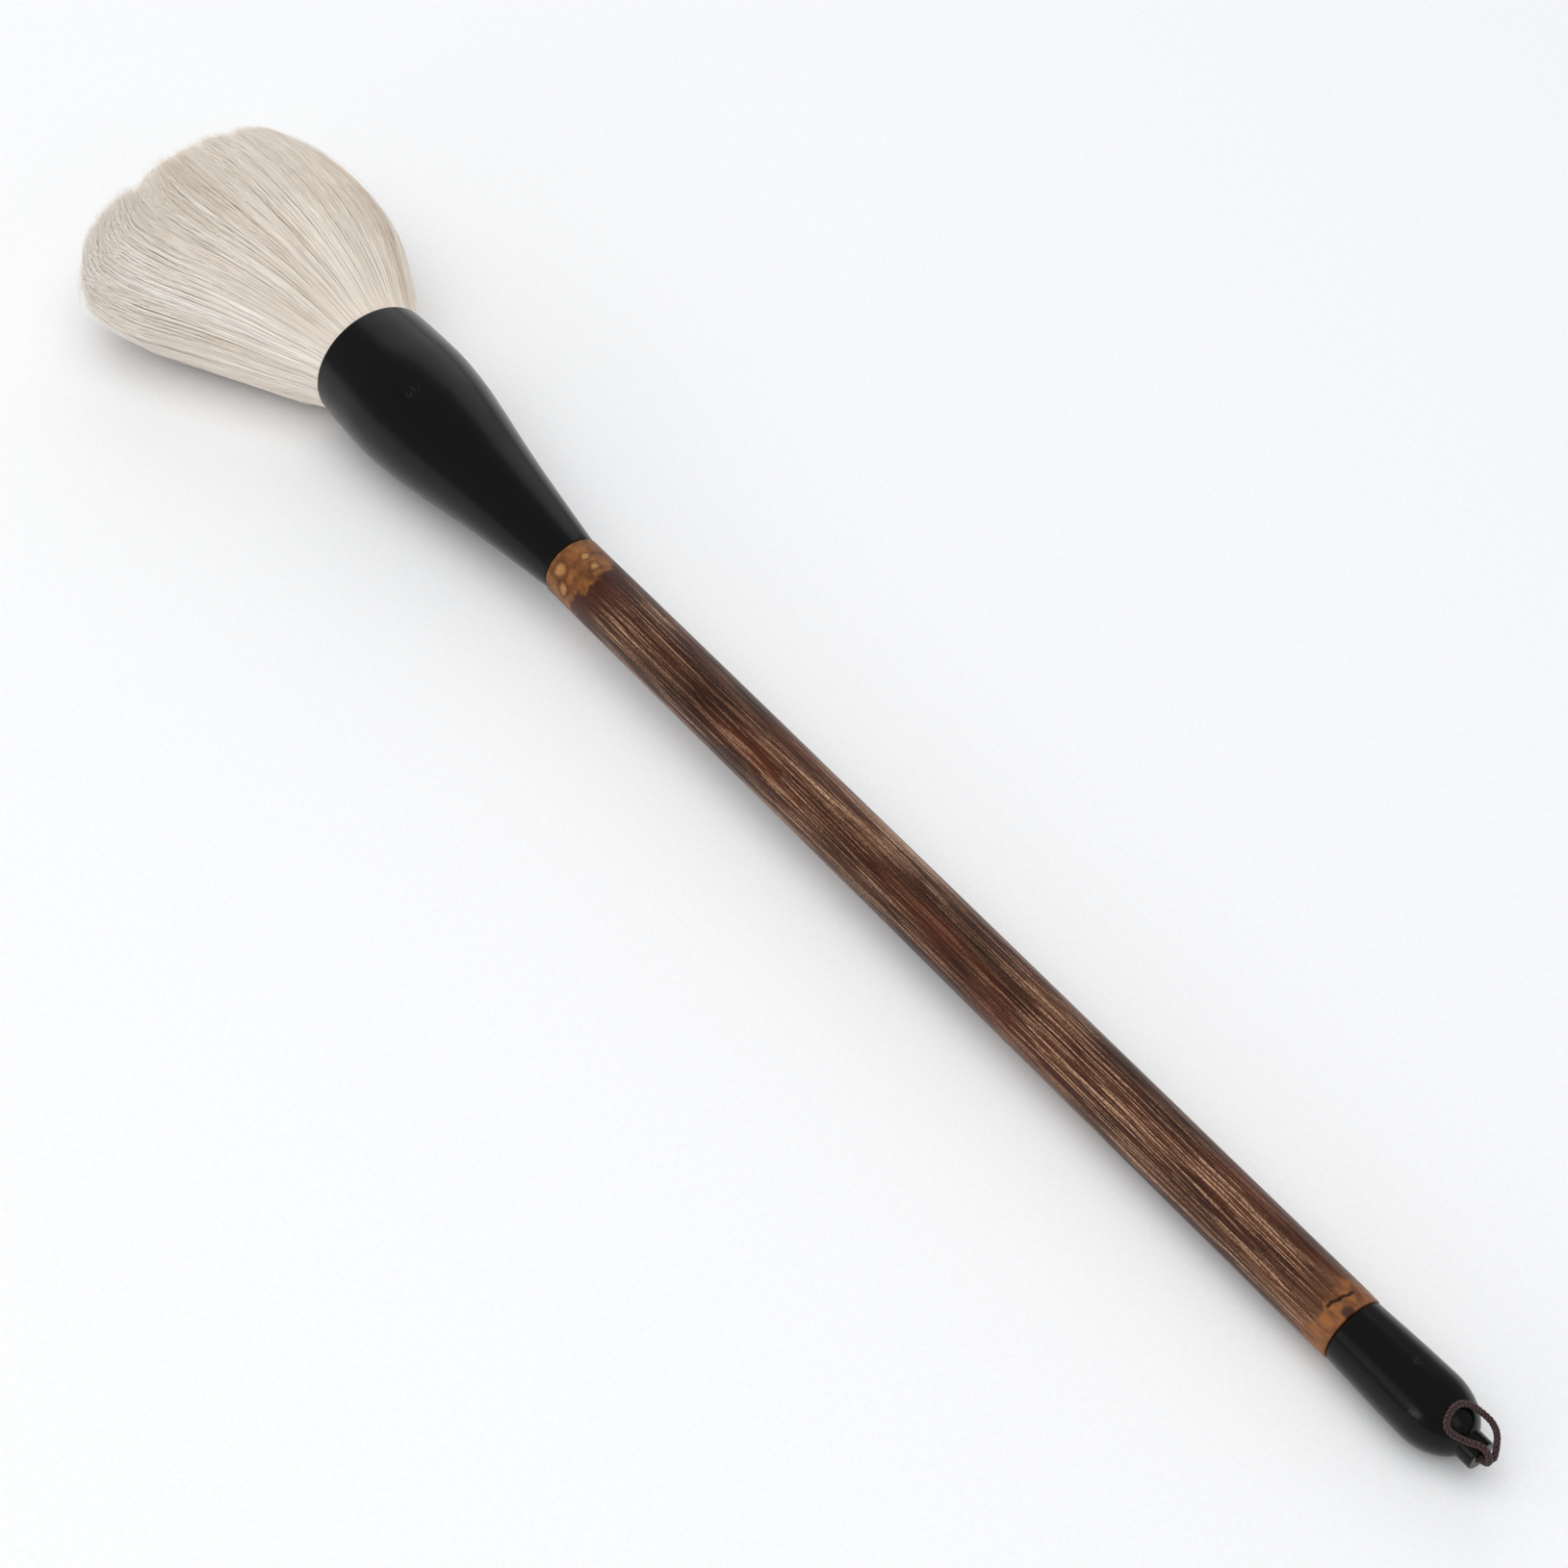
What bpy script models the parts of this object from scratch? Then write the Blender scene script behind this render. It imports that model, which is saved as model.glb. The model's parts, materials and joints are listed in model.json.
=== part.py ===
"""Large bamboo-handled calligraphy brush with a flared goat-hair head and a hanging loop.

The brush lies on a table. Each piece is modelled along its own long axis, in millimetres, and is
placed under the empty "brush_axis": +X runs from the ferrule's rear end towards the end cap, +Z is
up, and X = 0 is the joint between ferrule and handle. The brush rests on the widest ring of its
ferrule and the widest ring of its end cap, so its axis slopes down slightly towards the cap.
"""

import math

import bmesh
import bpy
import numpy as np
from mathutils import Matrix, Vector

MM = 0.001
GAP = 0.3  # clearance between neighbouring pieces, in mm

# Driving dimensions in mm, along the axis (x) and out from it (r).
HANDLE_R = 7.5
HANDLE_LENGTH = 252.8
HANDLE_BORE_R = 3.5
HANDLE_HOLLOW_R = 4.3
BORE_DEPTH = 22.0

FERRULE_LENGTH = 83.0
FERRULE_REAR_R = 7.2
FERRULE_MAX_R = 16.05
FERRULE_MAX_X = -65.0
FERRULE_LIP_R = 15.45
CUP_MOUTH_R = 13.9
CUP_FLOOR_R = 13.0
CUP_DEPTH = 26.0
SOCKET_R = 3.3
SOCKET_DEPTH = 21.0

DOWEL_R = 3.0
DOWEL_LENGTH = 40.0
REAR_DOWEL_X = HANDLE_LENGTH - 2.0

CAP_START_R = 7.23
CAP_MAX_R = 7.95
CAP_MAX_X = 273.4
CAP_SHOULDER_LENGTH = 11.3
STUB_R = 3.3
STUB_END_X = 287.4
CAP_SOCKET_END_X = 277.0
CORD_HOLE_R = 1.5

HEAD_YAW_DEG = 1.2  # the ferrule is glued on slightly askew

HAIR_REACH = 81.0  # how far the tips stand out of the ferrule's mouth
HAIR_ROOT_R = 11.1
HAIR_ROOT_LENGTH = 6.5
HAIR_ROOT_FLARE = 2.5
HAIR_CUP_R = 12.9
OUTER_TIPS_REACH = 68.0  # from here on the covering hair closes in to its tips
OUTER_END_REACH = 75.5
CORE_SHARE = 0.52  # size of the core against the whole head, section by section
CORE_TIPS_REACH = 76.5
RESIN_DEPTH = 3.0
RESIN_RIM = 0.4  # the resin creeps this much further up the cup's wall
BINDING_R = 0.35
BINDING_TURNS = 4
BINDING_START = 5.2  # first turn, measured from the cup's floor

CORD_R = 0.58
CORD_SPREAD = 0.62  # the two strands lie side by side, this far either side of the axis
KNOT_R = 2.2
PIVOT_OUT = 1.3  # the loop swings about a point this far outside the stub's end face

TABLE_TILT = math.asin((FERRULE_MAX_R - CAP_MAX_R) / (CAP_MAX_X - FERRULE_MAX_X))

# Half sizes of the hair head: distance out of the mouth, then left (-Y), right (+Y), up and down.
HAIR_SECTIONS = [
    (0.0, 13.5, 13.5, 13.5, 13.5),
    (5.0, 18.6, 16.6, 16.4, 15.5),
    (14.0, 23.2, 20.9, 19.4, 18.0),
    (28.0, 31.0, 26.7, 22.0, 20.0),
    (44.0, 40.4, 29.0, 23.0, 20.5),
    (58.0, 43.6, 28.0, 22.2, 20.5),
    (68.0, 38.8, 26.4, 20.0, 20.0),
]

# The hanging loop's centreline: out along the axis, across (+Y) and up, from the centre of the cord
# hole's mouth. It turns back over the stub and rests on the cap's shoulder.
LOOP_ROUTE = [
    (1.45, -CORD_SPREAD, 0.40),
    (2.15, -0.62, 1.55),
    (2.05, -0.62, 2.80),
    (1.10, -0.66, 3.90),
    (-0.40, -0.95, 4.30),
    (-2.30, -1.85, 3.95),
    (-4.30, -2.85, 4.20),
    (-6.00, -3.75, 5.20),
    (-7.20, -3.30, 6.45),
    (-7.95, -1.60, 7.50),
    (-7.95, 0.50, 7.70),
    (-6.90, 2.45, 6.85),
    (-5.20, 3.85, 5.25),
    (-2.80, 4.50, 4.15),
    (-0.60, 3.65, 4.10),
    (1.00, 2.15, 3.85),
    (1.90, 1.10, 2.90),
    (2.15, 0.66, 1.65),
    (1.45, CORD_SPREAD, 0.40),
]

BLACK = (0.012, 0.012, 0.013)
BAMBOO = (0.130, 0.062, 0.034)
HAIR = (0.720, 0.640, 0.540)
WOOD = (0.450, 0.310, 0.180)
RESIN = (0.300, 0.170, 0.060)
THREAD = (0.500, 0.450, 0.360)
CORD = (0.060, 0.018, 0.016)


def clear_scene():
    for obj in list(bpy.data.objects):
        bpy.data.objects.remove(obj, do_unlink=True)


def material(name, colour, roughness, metallic=0.0):
    mat = bpy.data.materials.new(name)
    mat.use_nodes = True
    shader = mat.node_tree.nodes["Principled BSDF"]
    shader.inputs["Base Color"].default_value = (*colour, 1.0)
    shader.inputs["Roughness"].default_value = roughness
    shader.inputs["Metallic"].default_value = metallic
    return mat


def new_collection(name):
    collection = bpy.data.collections.new(name)
    bpy.context.scene.collection.children.link(collection)
    return collection


def add_empty(name, collection, parent=None, location=(0, 0, 0), rotation=(0, 0, 0)):
    empty = bpy.data.objects.new(name, None)
    empty.location = Vector(location) * MM
    empty.rotation_euler = rotation
    empty.parent = parent
    collection.objects.link(empty)
    return empty


def add_mesh(name, mesh, mat, collection, parent, rotation=(0, 0, 0)):
    obj = bpy.data.objects.new(name, mesh)
    mesh.materials.append(mat)
    mesh.shade_smooth()
    mesh.set_sharp_from_angle(angle=math.radians(35))
    obj.rotation_euler = rotation
    obj.parent = parent
    collection.objects.link(obj)
    return obj


def smooth_curve(points, steps):
    """Points along a Catmull-Rom curve through the given ones, `steps` to each stretch."""
    pts = np.array(points, dtype=float)
    pts = np.vstack([2 * pts[0] - pts[1], pts, 2 * pts[-1] - pts[-2]])
    out = []
    for p0, p1, p2, p3 in zip(pts[:-3], pts[1:-2], pts[2:-1], pts[3:]):
        for t in np.arange(steps) / steps:
            bend = (2 * p0 - 5 * p1 + 4 * p2 - p3) * t**2 + (3 * p1 - p0 - 3 * p2 + p3) * t**3
            out.append(0.5 * (2 * p1 + (p2 - p0) * t + bend))
    out.append(pts[-2])
    return out


def arc(centre_x, centre_r, size_x, size_r, start_deg, end_deg, steps):
    """Points (x, r) on an ellipse; 0 degrees points along +X and 90 degrees away from the axis."""
    angles = [math.radians(start_deg + (end_deg - start_deg) * i / steps) for i in range(steps + 1)]
    return [(centre_x + size_x * math.cos(a), centre_r + size_r * math.sin(a)) for a in angles]


def add_turned(name, outline, closed, segments, mat, collection, parent):
    """A piece turned about the brush's axis.

    The outline's points (x, r) start at the cap end, run along the outer side towards the hair and
    come back along the inner side. A closed outline makes a ring; an open one starts and ends on
    the axis.
    """
    mesh = bpy.data.meshes.new(name)
    points = [(r * MM, 0.0, x * MM) for x, r in outline]
    edges = [(i, i + 1) for i in range(len(points) - 1)]
    if closed:
        edges.append((len(points) - 1, 0))
    mesh.from_pydata(points, edges, [])
    obj = add_mesh(name, mesh, mat, collection, parent, rotation=(0, math.radians(90), 0))
    screw = obj.modifiers.new("Turn", "SCREW")
    screw.steps = segments
    screw.render_steps = segments
    screw.use_merge_vertices = True
    screw.merge_threshold = 0.00001
    screw.use_smooth_shade = True
    return obj


def add_handle(mat, collection, parent):
    """Hollow bamboo culm, reamed at both ends for the dowels."""
    edge = 0.35
    end = HANDLE_LENGTH
    outline = [
        (end, HANDLE_R - edge),
        (end - edge, HANDLE_R),
        (edge, HANDLE_R),
        (0.0, HANDLE_R - edge),
        (0.0, HANDLE_BORE_R),
        (BORE_DEPTH, HANDLE_BORE_R),
        (BORE_DEPTH + 3.0, HANDLE_HOLLOW_R),
        (end - BORE_DEPTH - 3.0, HANDLE_HOLLOW_R),
        (end - BORE_DEPTH, HANDLE_BORE_R),
        (end, HANDLE_BORE_R),
    ]
    return add_turned("bamboo_handle", outline, True, 64, mat, collection, parent)


def add_ferrule(mat, collection, parent):
    """Black hopper-shaped ferrule: a cup for the hair in front and a dowel socket behind."""
    lip = 0.8
    mouth_x = -FERRULE_LENGTH
    floor_x = mouth_x + CUP_DEPTH
    outer = smooth_curve(
        [
            (-GAP, FERRULE_REAR_R),
            (-16.0, 9.25),
            (-31.0, 11.40),
            (-46.0, 13.95),
            (-55.0, 15.30),
            (FERRULE_MAX_X, FERRULE_MAX_R),
            (-76.0, 15.82),
            (mouth_x + lip, FERRULE_LIP_R),
        ],
        3,
    )
    rim = arc(mouth_x + lip, FERRULE_LIP_R - lip, lip, lip, 90, 180, 4)
    outline = [(-SOCKET_DEPTH, 0.0), (-SOCKET_DEPTH, SOCKET_R), (-GAP, SOCKET_R)]
    outline += [tuple(p) for p in outer[:-1]] + rim
    outline += [(mouth_x, CUP_MOUTH_R), (floor_x - 2.0, CUP_FLOOR_R), (floor_x, CUP_FLOOR_R - 1.5)]
    outline += [(floor_x, 0.0)]
    return add_turned("ferrule", outline, False, 64, mat, collection, parent)


def add_end_cap(mat, collection, parent):
    """Black end cap: a slightly widening barrel, a round shoulder and a narrow bored stub."""
    start_x = HANDLE_LENGTH + GAP
    edge = 0.35
    shoulder_deg = math.degrees(math.asin(STUB_R / CAP_MAX_R))
    shoulder = arc(CAP_MAX_X, 0.0, CAP_SHOULDER_LENGTH, CAP_MAX_R, shoulder_deg, 90, 9)
    outline = [
        (STUB_END_X, CORD_HOLE_R + 0.2),
        (STUB_END_X, STUB_R - edge),
        (STUB_END_X - edge, STUB_R),
    ]
    outline += shoulder
    outline += [
        (start_x + 0.2, CAP_START_R),
        (start_x, CAP_START_R - 0.2),
        (start_x, SOCKET_R),
        (CAP_SOCKET_END_X, SOCKET_R),
        (CAP_SOCKET_END_X, CORD_HOLE_R),
        (STUB_END_X - 0.2, CORD_HOLE_R),
    ]
    return add_turned("end_cap", outline, True, 48, mat, collection, parent)


def add_dowel(name, centre_x, mat, collection, parent):
    """Round wooden dowel that joins two turned pieces end to end."""
    mesh = bpy.data.meshes.new(name)
    bm = bmesh.new()
    turn = Matrix.Translation((centre_x * MM, 0, 0)) @ Matrix.Rotation(math.radians(90), 4, "Y")
    bmesh.ops.create_cone(
        bm,
        cap_ends=True,
        segments=24,
        radius1=DOWEL_R * MM,
        radius2=DOWEL_R * MM,
        depth=DOWEL_LENGTH * MM,
        matrix=turn,
    )
    bm.to_mesh(mesh)
    bm.free()
    obj = add_mesh(name, mesh, mat, collection, parent)
    bevel = obj.modifiers.new("Chamfer", "BEVEL")
    bevel.width = 0.5 * MM
    bevel.segments = 1
    return obj


def add_root_resin(mat, collection, parent):
    """Disc of set resin that holds the hair's root to the floor of the ferrule's cup."""
    back_x = -FERRULE_LENGTH + CUP_DEPTH - GAP
    front_x = back_x - RESIN_DEPTH
    radius = CUP_FLOOR_R - GAP
    inset = 1.8
    outline = [
        (back_x, 0.0),
        (back_x, radius - inset),
        (back_x - 2.2, radius),
        (front_x - RESIN_RIM, radius - 0.1),
        (front_x, radius - inset),
        (front_x, 0.0),
    ]
    return add_turned("root_resin", outline, False, 48, mat, collection, parent)


def table_height(x):
    """Height of the table under the head, measured from the head's axis, in mm."""
    at_ferrule = -FERRULE_MAX_R / math.cos(TABLE_TILT)
    return at_ferrule + (x - FERRULE_MAX_X) * math.tan(TABLE_TILT)


def head_sizes(reach, tips_reach):
    """Left, right, up and down half sizes of a head of hair that closes in from tips_reach on."""
    dense = np.array(smooth_curve(HAIR_SECTIONS, 8))
    past = max(0.0, reach - tips_reach) / (HAIR_REACH - tips_reach)
    closing = math.sqrt(1 - past**2)
    return [closing * np.interp(reach, dense[:, 0], dense[:, i]) for i in range(1, 5)]


def section_ring(x, left, right, up, down, count):
    """One ring of a hair section, flattened where it lies on the table."""
    ring = []
    for i in range(count):
        angle = 2 * math.pi * i / count
        y = math.cos(angle) * (right if math.cos(angle) > 0 else left)
        z = math.sin(angle) * (up if math.sin(angle) > 0 else down)
        ring.append(Vector((x, y, max(z, table_height(x) + 0.02))) * MM)
    return ring


def loft(name, rings, cap_ends):
    """Mesh through rings of equal count, closed with end faces or back onto its first ring."""
    mesh = bpy.data.meshes.new(name)
    bm = bmesh.new()
    loops = [[bm.verts.new(p) for p in ring] for ring in rings]
    pairs = list(zip(loops[:-1], loops[1:]))
    if cap_ends:
        bm.faces.new(loops[0])
        bm.faces.new(list(reversed(loops[-1])))
    else:
        pairs.append((loops[-1], loops[0]))
    for a, b in pairs:
        for i in range(len(a)):
            j = (i + 1) % len(a)
            bm.faces.new((a[i], b[i], b[j], a[j]))
    bmesh.ops.recalc_face_normals(bm, faces=bm.faces)
    bm.to_mesh(mesh)
    bm.free()
    return mesh


def hair_rings(share, grow, reaches, tips_reach, count):
    """Rings from the root to the last of `reaches`; share and grow size them against the head."""
    root_x = -FERRULE_LENGTH + CUP_DEPTH - RESIN_DEPTH - RESIN_RIM - 2 * GAP
    root_end_x = root_x - HAIR_ROOT_LENGTH
    in_cup = [
        (root_x, HAIR_ROOT_R),
        (root_end_x, HAIR_ROOT_R),
        (root_end_x - HAIR_ROOT_FLARE, HAIR_CUP_R),
    ]
    rings = [section_ring(x, *[r * share + grow] * 4, count) for x, r in in_cup]
    for reach in reaches:
        sizes = [size * share + grow for size in head_sizes(reach, tips_reach)]
        rings.append(section_ring(-FERRULE_LENGTH - reach, *sizes, count))
    return rings


def add_core_hair(mat, collection, parent):
    """Inner bundle of hair, whose rounded tips stand a little proud of the layer round it."""
    reaches = list(np.linspace(0.0, CORE_TIPS_REACH, 12)) + [78.5, 80.0, 80.8]
    rings = hair_rings(CORE_SHARE, 0.0, reaches, CORE_TIPS_REACH, 32)
    mesh = loft("core_hair", rings, cap_ends=True)
    return add_mesh("core_hair", mesh, mat, collection, parent)


def add_outer_hair(mat, collection, parent):
    """Covering layer of hair round the core: flared, leaning to one side, lying on the table."""
    outer_reaches = list(np.linspace(0.0, OUTER_TIPS_REACH, 11)) + [72.0, OUTER_END_REACH]
    outer = hair_rings(1.0, 0.0, outer_reaches, OUTER_TIPS_REACH, 48)
    inner_reaches = np.linspace(0.0, OUTER_END_REACH + 1.5, 12)
    inner = hair_rings(CORE_SHARE, GAP, inner_reaches, HAIR_REACH - GAP, 48)
    mesh = loft("outer_hair", outer + list(reversed(inner)), cap_ends=False)
    return add_mesh("outer_hair", mesh, mat, collection, parent)


def curve_to_mesh(name, points, radius, resolution, mat, collection, parent):
    """A round cord or thread through the points, as a closed mesh with welded end caps."""
    curve = bpy.data.curves.new(name, "CURVE")
    curve.dimensions = "3D"
    curve.bevel_depth = radius * MM
    curve.bevel_resolution = resolution
    curve.use_fill_caps = True
    spline = curve.splines.new("POLY")
    spline.points.add(len(points) - 1)
    for target, point in zip(spline.points, points):
        target.co = (*(Vector(point) * MM), 1.0)
    guide = bpy.data.objects.new(name + "_guide", curve)
    collection.objects.link(guide)
    graph = bpy.context.evaluated_depsgraph_get()
    mesh = bpy.data.meshes.new_from_object(guide.evaluated_get(graph))
    bpy.data.objects.remove(guide, do_unlink=True)
    bm = bmesh.new()
    bm.from_mesh(mesh)
    bmesh.ops.remove_doubles(bm, verts=bm.verts, dist=0.00001)
    bmesh.ops.recalc_face_normals(bm, faces=bm.faces)
    bm.to_mesh(mesh)
    bm.free()
    return add_mesh(name, mesh, mat, collection, parent)


def add_root_binding(mat, collection, parent):
    """Thread wound round the root of the hair, inside the cup."""
    radius = HAIR_ROOT_R + GAP + BINDING_R
    start_x = -FERRULE_LENGTH + CUP_DEPTH - BINDING_START
    per_turn = 20
    points = []
    for i in range(BINDING_TURNS * per_turn):
        angle = 2 * math.pi * i / per_turn
        x = start_x - (2 * BINDING_R + GAP) * i / per_turn
        points.append((x, radius * math.cos(angle), radius * math.sin(angle)))
    return curve_to_mesh("root_binding", points, BINDING_R, 1, mat, collection, parent)


def add_cord_knot(mat, collection, cutters, parent):
    """Stopper knot inside the end cap, with the two strands that run out through the stub."""
    knot_x = CAP_SOCKET_END_X - GAP - KNOT_R - STUB_END_X
    mesh = bpy.data.meshes.new("cord_knot")
    bm = bmesh.new()
    place = Matrix.Translation((knot_x * MM, 0, 0)) @ Matrix.Diagonal((0.9, 1.0, 1.0, 1.0))
    bmesh.ops.create_uvsphere(bm, u_segments=20, v_segments=12, radius=KNOT_R * MM, matrix=place)
    bm.to_mesh(mesh)
    bm.free()
    knot = add_mesh("cord_knot", mesh, mat, collection, parent)
    for side, label in ((-1, "left"), (1, "right")):
        ends = [(knot_x, side * CORD_SPREAD, 0.0), (0.6, side * CORD_SPREAD, 0.0)]
        strand = curve_to_mesh("strand_" + label, ends, CORD_R, 2, mat, cutters, parent)
        strand.hide_render = True
        strand.display_type = "WIRE"
        join = knot.modifiers.new("Join " + label, "BOOLEAN")
        join.operation = "UNION"
        join.object = strand
    return knot


def add_hanging_loop(mat, collection, parent):
    """Free loop of cord, folded back over the stub and resting on the cap's shoulder."""
    points = [Vector(p) - Vector((PIVOT_OUT, 0, 0)) for p in smooth_curve(LOOP_ROUTE, 2)]
    return curve_to_mesh("hanging_loop", points, CORD_R, 2, mat, collection, parent)


def lowest_and_highest(objects):
    graph = bpy.context.evaluated_depsgraph_get()
    corners = []
    for obj in objects:
        shown = obj.evaluated_get(graph)
        corners += [shown.matrix_world @ v.co for v in shown.data.vertices]
    points = np.array(corners)
    return points.min(axis=0), points.max(axis=0)


def centre_on_table(brush_axis, objects):
    """Puts the middle of the brush over the origin, with its lowest point on the table."""
    bpy.context.view_layer.update()
    low, high = lowest_and_highest(objects)
    middle = (low + high) / 2
    brush_axis.location -= Vector((middle[0], middle[1], low[2]))
    bpy.context.view_layer.update()


def main():
    clear_scene()
    parts = new_collection("calligraphy_brush")
    cutters = new_collection("cutters")
    black = material("black_ferrule", BLACK, 0.18)
    bamboo = material("stained_bamboo", BAMBOO, 0.42)
    hair = material("goat_hair", HAIR, 0.8)
    wood = material("dowel_wood", WOOD, 0.7)
    resin = material("root_resin", RESIN, 0.3)
    thread = material("binding_thread", THREAD, 0.8)
    cord = material("braided_cord", CORD, 0.75)

    brush_axis = add_empty("brush_axis", parts, rotation=(0, TABLE_TILT, 0))
    head_yaw = (0, 0, math.radians(-HEAD_YAW_DEG))
    head_axis = add_empty("head_axis", parts, brush_axis, rotation=head_yaw)
    knot_axis = add_empty("knot_axis", parts, brush_axis, location=(STUB_END_X, 0, 0))
    loop_axis = add_empty("loop_axis", parts, knot_axis, location=(PIVOT_OUT, 0, 0))

    rigid = [
        add_handle(bamboo, parts, brush_axis),
        add_ferrule(black, parts, head_axis),
        add_end_cap(black, parts, brush_axis),
        add_dowel("front_dowel", 0.0, wood, parts, head_axis),
        add_dowel("rear_dowel", REAR_DOWEL_X, wood, parts, brush_axis),
        add_root_resin(resin, parts, head_axis),
        add_root_binding(thread, parts, head_axis),
        add_core_hair(hair, parts, head_axis),
        add_outer_hair(hair, parts, head_axis),
    ]
    add_cord_knot(cord, parts, cutters, knot_axis)
    add_hanging_loop(cord, parts, loop_axis)
    centre_on_table(brush_axis, rigid)


main()
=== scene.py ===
"""Looks of the large calligraphy brush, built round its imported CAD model.

The model is in metres, +Z up. The brush's own frame has its origin on the joint between ferrule
and handle, and +X along the axis towards the end cap. The head's frame is that frame turned by the
ferrule's slight skew. Shapes are in millimetres in those two frames; camera, lights and shader
nodes are in metres.
"""

import math

import bpy
import numpy as np
from mathutils import Matrix, Vector
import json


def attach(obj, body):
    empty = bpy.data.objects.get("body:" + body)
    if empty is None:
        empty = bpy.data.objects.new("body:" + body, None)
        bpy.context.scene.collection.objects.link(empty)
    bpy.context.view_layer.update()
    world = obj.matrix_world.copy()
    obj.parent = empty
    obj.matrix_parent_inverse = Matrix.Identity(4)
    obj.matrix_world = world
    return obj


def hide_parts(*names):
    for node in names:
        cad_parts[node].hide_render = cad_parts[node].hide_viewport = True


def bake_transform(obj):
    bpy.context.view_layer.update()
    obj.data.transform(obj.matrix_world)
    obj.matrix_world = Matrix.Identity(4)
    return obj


MM = 0.001
SEED = 20

STUB_END_X = 287.4
HEAD_YAW_DEG = -1.2

HANDLE_R = 7.5
HANDLE_LENGTH = 252.8
HANDLE_BORE_R = 3.5

FERRULE_LENGTH = 83.0
FERRULE_OUTLINE = [
    (-0.3, 7.20),
    (-16.0, 9.25),
    (-31.0, 11.40),
    (-46.0, 13.95),
    (-55.0, 15.30),
    (-65.0, 16.05),
    (-76.0, 15.82),
    (-82.2, 15.45),
]
FERRULE_MAX_X = -65.0
FERRULE_MAX_R = 16.05
LIP = 0.8
CUP_MOUTH_R = 13.9
CUP_FLOOR_R = 13.0
CUP_DEPTH = 26.0
SOCKET_R = 3.3
SOCKET_DEPTH = 21.0

CAP_START_X = 253.1
CAP_START_R = 7.23
CAP_MAX_R = 7.95
CAP_MAX_X = 273.4
CAP_SHOULDER = 11.3
CAP_SOCKET_END_X = 277.0
STUB_R = 3.3
CORD_HOLE_R = 1.5

TABLE_TILT_DEG = 1.3716
TABLE_GAP = 0.15  # between the table and the lowest hairs' centrelines

# The camera turns about a point given from the brush's origin, in metres along the world's axes.
CAMERA_AZIMUTH_DEG = 51.864
CAMERA_ELEVATION_DEG = 48.620
CAMERA_DISTANCE_M = 0.83314
CAMERA_TARGET_M = (0.05832, 0.01476, -0.03237)

# Faint scuffs on the black pieces: distance along the brush, from the axis, degrees, radius.
SMUDGES = [(-55.3, 15.3, 111, 2.6), (274.5, 7.9, 145, 2.2), (268.0, 7.9, 84, 1.4)]

# Pale scars in the caramel patch: distance from the ferrule, degrees round from +Y, radius.
SCARS = [(5.0, 90, 0.7), (8.6, 92, 0.9), (7.5, 131, 0.6), (3.2, 140, 1.7), (6.4, 160, 1.3)]

# The dark spot on the handle's end beside the cap: distance along the handle, from the axis,
# degrees.
DARK_SPOT = (252.6, HANDLE_R, 105)

# The crack beside the cap: its middle, how far it drifts along the handle per degree, half its
# span, and its ripple: half height, and radians of the wave per degree round the handle.
CRACK_X = 249.0
CRACK_DEG = 97.0
CRACK_SLOPE = 0.026
CRACK_HALF_DEG = 27.0
CRACK_RIPPLE = 0.12
CRACK_RIPPLE_RATE = 0.35

# Half sizes of the hair head: distance out of the mouth, then left (-Y), right (+Y), up and down.
HAIR_SECTIONS = [
    (0.0, 13.5, 13.5, 13.5, 13.5),
    (5.0, 18.6, 16.6, 16.4, 15.5),
    (14.0, 23.2, 20.9, 19.4, 18.0),
    (28.0, 31.0, 26.7, 22.0, 20.0),
    (44.0, 40.4, 29.0, 23.0, 20.5),
    (58.0, 43.6, 28.0, 22.2, 20.5),
    (68.0, 38.8, 26.4, 20.0, 20.0),
]
TIPS_REACH = 68.0  # where the outermost hairs end
HAIR_REACH = 81.0  # where the hairs on the head's axis end
ROOT_REACH = -5.0  # the modelled hairs start this far behind the mouth
NOTCHES = [(7.0, 2.2, 1.8), (-21.0, 2.6, 2.8)]  # across, width and depth of gaps between locks
LOCKS = 110

# The cord's centreline outside the stub: out along the axis, across and up from the hole's mouth.
CORD_SPREAD = 0.62
LOOP_ROUTE = [
    (1.45, -CORD_SPREAD, 0.40),
    (2.15, -0.62, 1.55),
    (2.05, -0.62, 2.80),
    (1.10, -0.66, 3.90),
    (-0.40, -0.95, 4.30),
    (-2.30, -1.85, 3.95),
    (-4.30, -2.85, 4.20),
    (-6.00, -3.75, 5.20),
    (-7.20, -3.30, 6.45),
    (-7.95, -1.60, 7.50),
    (-7.95, 0.50, 7.70),
    (-6.90, 2.45, 6.85),
    (-5.20, 3.85, 5.25),
    (-2.80, 4.50, 4.15),
    (-0.60, 3.65, 4.10),
    (1.00, 2.15, 3.85),
    (1.90, 1.10, 2.90),
    (2.15, 0.66, 1.65),
    (1.45, CORD_SPREAD, 0.40),
]
KNOT_OUT = -10.4  # the cord starts here, at the stopper knot behind the stub
KNOT_SIZE = (0.62, 0.5, 0.5)

BRAID_CORE_R = 0.46
BRAID_YARNS = 4  # each way
BRAID_YARN_R = 0.21
BRAID_PITCH = 3.6
BRAID_OUT = 0.44  # the yarns' distance from the cord's centreline
BRAID_LIFT = 0.075  # how far they weave in and out
BRAID_SPACING = 0.16

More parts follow.
